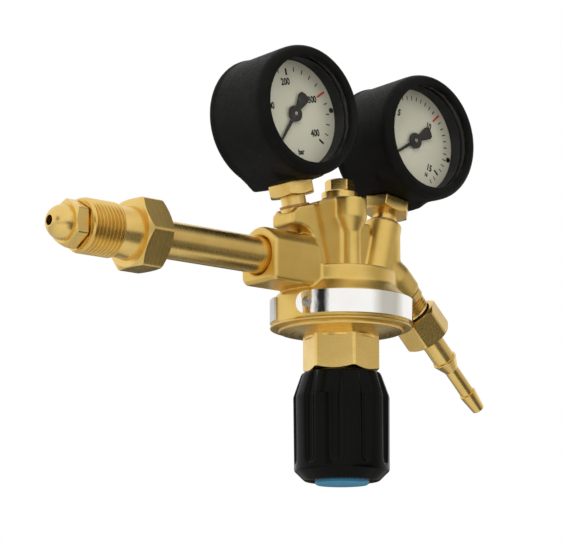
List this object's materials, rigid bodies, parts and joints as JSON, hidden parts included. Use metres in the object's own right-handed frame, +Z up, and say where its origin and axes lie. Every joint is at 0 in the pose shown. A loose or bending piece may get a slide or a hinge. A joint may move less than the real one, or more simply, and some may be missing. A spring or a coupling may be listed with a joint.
{
  "type": "gas cylinder pressure regulator",
  "caption": "Brass gas regulator with two booted dial gauges in a V, side cylinder inlet with union nut, angled barbed outlet, and a fluted hand knob below.",
  "frame": {"origin": "on the inlet thread's axis, halfway along the thread", "axes": "+X from the inlet nut to the body, +Z up through the top plug, -Y the way the dials face"},
  "size_m": [0.2447, 0.0632, 0.187],
  "materials": {
    "brass_forged": "forged and blasted",
    "brass_turned": "turned and polished",
    "rubber_black": "satin",
    "plastic_black": "gloss",
    "plastic_blue": "satin",
    "chrome_plate": "polished",
    "label_white": "satin",
    "dial_white": "matt",
    "pointer_black": "matt",
    "window_clear": "clear",
    "steel_bright": "bright",
    "seal_black": "matt",
    "seat_plastic": "matt"
  },
  "bodies": {
    "regulator": {"body": "brass_forged", "inlet_stem": "brass_turned", "inlet_nipple": "brass_turned", "inlet_filter": "brass_turned", "outlet_nipple": "brass_turned", "outlet_seal": "seal_black", "hose_tail": "brass_turned", "top_plug": "brass_turned", "plug_seal": "seat_plastic", "valve_seat": "seat_plastic", "valve_spring": "steel_bright", "diaphragm": "seal_black", "slip_ring": "seat_plastic", "bonnet": "brass_forged", "main_spring": "steel_bright", "front_plate": "chrome_plate", "front_plate_rivets": "chrome_plate", "rear_label": "label_white", "high_stem": "brass_turned", "high_stem_washer": "seat_plastic", "high_case": "steel_bright", "high_boot": "rubber_black", "high_window": "window_clear", "high_spacer": "seal_black", "high_dial": "dial_white", "high_movement": "brass_turned", "high_bourdon": "brass_turned", "low_stem": "brass_turned", "low_stem_washer": "seat_plastic", "low_case": "steel_bright", "low_boot": "rubber_black", "low_window": "window_clear", "low_spacer": "seal_black", "low_dial": "dial_white", "low_movement": "brass_turned", "low_bourdon": "brass_turned"},
    "inlet_nut": {"inlet_nut": "brass_turned"},
    "union_nut": {"union_nut": "brass_turned"},
    "knob": {"knob": "plastic_black", "knob_cap": "plastic_blue", "adjusting_screw": "steel_bright", "screw_clip": "steel_bright"},
    "carrier": {"spring_carrier": "brass_turned"},
    "valve": {"valve_poppet": "brass_turned", "valve_pin": "steel_bright", "diaphragm_button": "brass_turned", "diaphragm_plate": "steel_bright"},
    "high_hand": {"high_pointer": "pointer_black", "high_arbor": "brass_turned"},
    "high_sector": {"high_sector": "brass_turned"},
    "low_hand": {"low_pointer": "pointer_black", "low_arbor": "brass_turned"},
    "low_sector": {"low_sector": "brass_turned"}
  },
  "joints": [
    {"name": "inlet_nut_turn", "type": "hinge", "parent": "regulator", "child": "inlet_nut", "pos_m": [0, 0, 0], "axis": [1, 0, 0], "continuous": true},
    {"name": "union_nut_turn", "type": "hinge", "parent": "regulator", "child": "union_nut", "pos_m": [0.1629, 0, 0], "axis": [0.7193, 0, -0.6947], "continuous": true},
    {"name": "knob_turn", "type": "hinge", "parent": "regulator", "child": "knob", "pos_m": [0.134, 0, -0.064], "axis": [0, 0, 1], "range_deg": [0, 1800]},
    {"name": "carrier_slide", "type": "slide", "parent": "regulator", "child": "carrier", "axis": [0, 0, 1], "range_m": [0, 0.0075], "deforming": ["main_spring"]},
    {"name": "valve_lift", "type": "slide", "parent": "regulator", "child": "valve", "axis": [0, 0, 1], "range_m": [0, 0.0008], "stiffness_N_per_m": 2000, "springref_m": -0.002, "deforming": ["valve_spring", "diaphragm"]},
    {"name": "high_pointer_turn", "type": "hinge", "parent": "regulator", "child": "high_hand", "pos_m": [0.0977, 0, 0.0623], "axis": [0, 1, 0], "range_deg": [0, 270], "stiffness_Nm_per_rad": 0.0001, "springref_deg": -20.05},
    {"name": "high_sector_turn", "type": "hinge", "parent": "regulator", "child": "high_sector", "pos_m": [0.10026, 0, 0.05201], "axis": [0, 1, 0], "range_deg": [-45, 0]},
    {"name": "low_pointer_turn", "type": "hinge", "parent": "regulator", "child": "low_hand", "pos_m": [0.1703, 0, 0.0623], "axis": [0, 1, 0], "range_deg": [0, 270], "stiffness_Nm_per_rad": 0.0001, "springref_deg": -20.05},
    {"name": "low_sector_turn", "type": "hinge", "parent": "regulator", "child": "low_sector", "pos_m": [0.16774, 0, 0.05201], "axis": [0, 1, 0], "range_deg": [-45, 0]}
  ],
  "couplings": [
    {"joint": "carrier_slide", "follows": "knob_turn", "m_per_rad": 0.0002387},
    {"joint": "high_sector_turn", "follows": "high_pointer_turn", "ratio": -0.16666},
    {"joint": "low_sector_turn", "follows": "low_pointer_turn", "ratio": -0.16666}
  ]
}
